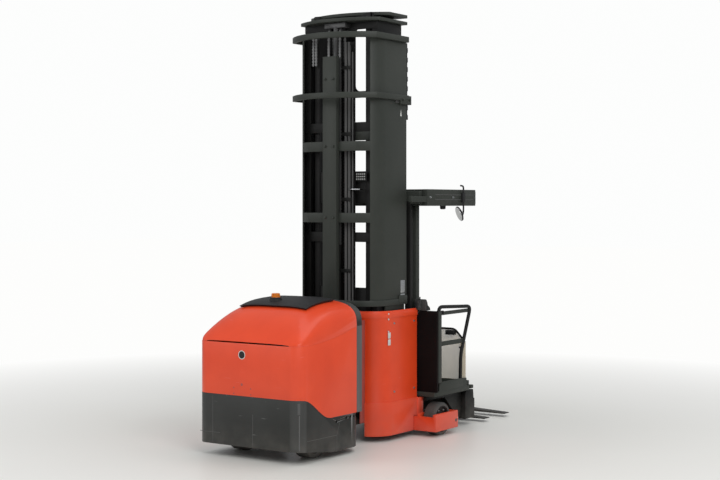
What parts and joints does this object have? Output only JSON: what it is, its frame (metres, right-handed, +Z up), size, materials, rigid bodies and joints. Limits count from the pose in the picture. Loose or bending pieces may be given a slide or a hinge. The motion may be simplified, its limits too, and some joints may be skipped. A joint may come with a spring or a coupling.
{
  "type": "very narrow aisle truck",
  "caption": "Man-up very narrow aisle truck: articulated rear unit, telescopic mast, lifting cab with roof guard and gates, traversing turret head with forks.",
  "frame": {"origin": "on the floor under the middle of the parked truck's box", "axes": "+X forward from the rear unit to the forks, +Y to the truck's left, +Z up"},
  "size_m": [3.868, 1.64, 4.39],
  "materials": {
    "red_paint": "gloss coat, light scuffs",
    "dark_red_paint": "satin",
    "mast_paint": "satin dark grey",
    "skirt_paint": "satin black, scuffed corners",
    "frame_paint": "satin black",
    "steel": "bright",
    "amber": "translucent amber",
    "black_plastic": "grained",
    "seal": "matt",
    "battery_case": "satin",
    "tyre": "smooth polyurethane",
    "tinted_pane": "tinted transparent",
    "mirror": "convex"
  },
  "bodies": {
    "chassis": {"front_frame": "frame_paint", "shroud": "red_paint", "neck_cover": "dark_red_paint", "load_bracket_left": "red_paint", "load_bracket_right": "red_paint", "mast_shell_left": "mast_paint", "mast_shell_right": "mast_paint", "mast_ladder": "mast_paint", "mast_rings": "mast_paint", "lift_cylinder": "frame_paint", "hose_chain": "black_plastic"},
    "rear_unit": {"rear_frame": "frame_paint", "skirt": "skirt_paint", "rear_panels": "red_paint", "seal_strip": "seal", "battery_block": "battery_case", "drive_axle": "frame_paint"},
    "hood": {"top_hood": "red_paint", "hood_tray": "black_plastic", "beacon": "amber"},
    "drive_left": {"drive_wheel_left": "tyre"},
    "drive_right": {"drive_wheel_right": "tyre"},
    "load_left": {"load_wheel_left": "tyre"},
    "load_right": {"load_wheel_right": "tyre"},
    "middle_mast": {"mid_mast": "frame_paint", "lift_rod": "steel"},
    "inner": {"inner_mast": "frame_paint"},
    "cab": {"cab_carriage": "frame_paint", "cab_floor": "mast_paint", "cab_back": "frame_paint", "cab_posts": "mast_paint", "roof_guard": "mast_paint", "front_panel": "tinted_pane", "console": "black_plastic", "mirror_round": "mirror", "traverse_frame": "frame_paint"},
    "left_gate": {"gate_left": "frame_paint"},
    "right_gate": {"gate_right": "frame_paint"},
    "slide": {"traverse_slide": "frame_paint"},
    "turret": {"turret_head": "frame_paint"},
    "carriage": {"fork_carriage": "frame_paint", "fork_left": "frame_paint", "fork_right": "frame_paint"}
  },
  "joints": [
    {"name": "steering", "type": "hinge", "parent": "chassis", "child": "rear_unit", "pos_m": [-0.734, 0, 0.5], "axis": [0, 0, 1], "range_deg": [-40, 40]},
    {"name": "hood_hinge", "type": "hinge", "parent": "rear_unit", "child": "hood", "pos_m": [-1.014, 0, 1.48], "axis": [0, 1, 0], "range_deg": [0, 70]},
    {"name": "drive_left_spin", "type": "hinge", "parent": "rear_unit", "child": "drive_left", "pos_m": [-1.484, 0.4, 0.18], "axis": [0, 1, 0], "continuous": true},
    {"name": "drive_right_spin", "type": "hinge", "parent": "rear_unit", "child": "drive_right", "pos_m": [-1.484, -0.4, 0.18], "axis": [0, 1, 0], "continuous": true},
    {"name": "load_left_spin", "type": "hinge", "parent": "chassis", "child": "load_left", "pos_m": [0.366, 0.7, 0.17], "axis": [0, 1, 0], "continuous": true},
    {"name": "load_right_spin", "type": "hinge", "parent": "chassis", "child": "load_right", "pos_m": [0.366, -0.7, 0.17], "axis": [0, 1, 0], "continuous": true},
    {"name": "mast_lift", "type": "slide", "parent": "chassis", "child": "middle_mast", "axis": [0, 0, 1], "range_m": [0, 2.8]},
    {"name": "inner_lift", "type": "slide", "parent": "middle_mast", "child": "inner", "axis": [0, 0, 1], "range_m": [0, 2.8]},
    {"name": "cab_lift", "type": "slide", "parent": "inner", "child": "cab", "axis": [0, 0, 1], "range_m": [0, 2.6]},
    {"name": "gate_left_lift", "type": "hinge", "parent": "cab", "child": "left_gate", "pos_m": [0.391, 0.705, 1.28], "axis": [0, -1, 0], "range_deg": [0, 80]},
    {"name": "gate_right_lift", "type": "hinge", "parent": "cab", "child": "right_gate", "pos_m": [0.391, -0.705, 1.28], "axis": [0, -1, 0], "range_deg": [0, 80]},
    {"name": "head_traverse", "type": "slide", "parent": "cab", "child": "slide", "axis": [0, -1, 0], "range_m": [0, 1.12]},
    {"name": "head_swivel", "type": "hinge", "parent": "slide", "child": "turret", "pos_m": [1.646, 0.56, 0.13], "axis": [0, 0, 1], "range_deg": [0, 180]},
    {"name": "fork_lift", "type": "slide", "parent": "turret", "child": "carriage", "axis": [0, 0, 1], "range_m": [0, 0.8]}
  ],
  "couplings": [
    {"joint": "inner_lift", "follows": "mast_lift", "ratio": 1}
  ]
}
